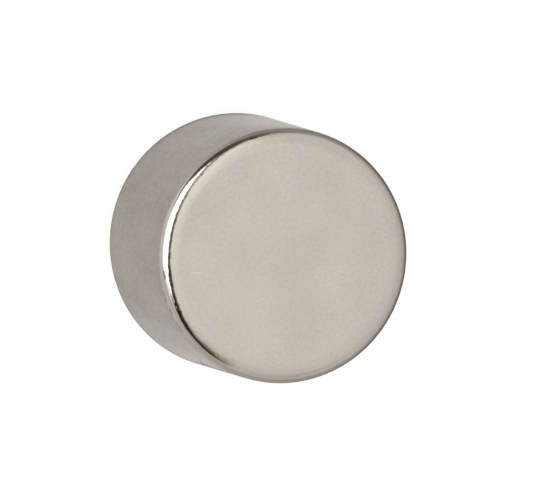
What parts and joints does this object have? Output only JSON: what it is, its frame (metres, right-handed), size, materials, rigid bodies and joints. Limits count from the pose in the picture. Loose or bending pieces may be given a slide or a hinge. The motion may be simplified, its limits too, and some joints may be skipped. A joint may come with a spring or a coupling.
{
  "type": "disc magnet",
  "caption": "Short cylindrical permanent magnet with flat pole faces and softly rolled rims, nickel plated, for holding, closing or sensing.",
  "frame": {"origin": "centre of the lower pole face, which is what the magnet stands on", "axes": "+Z along the magnetisation axis, from the lower pole face to the upper one; X and Y are any two directions across the disc"},
  "size_m": [0.01, 0.01, 0.008],
  "materials": {
    "nickel_plating": "satin nickel plating over sintered magnet alloy"
  },
  "bodies": {
    "root": {"disc_magnet": "nickel_plating"}
  },
  "joints": []
}
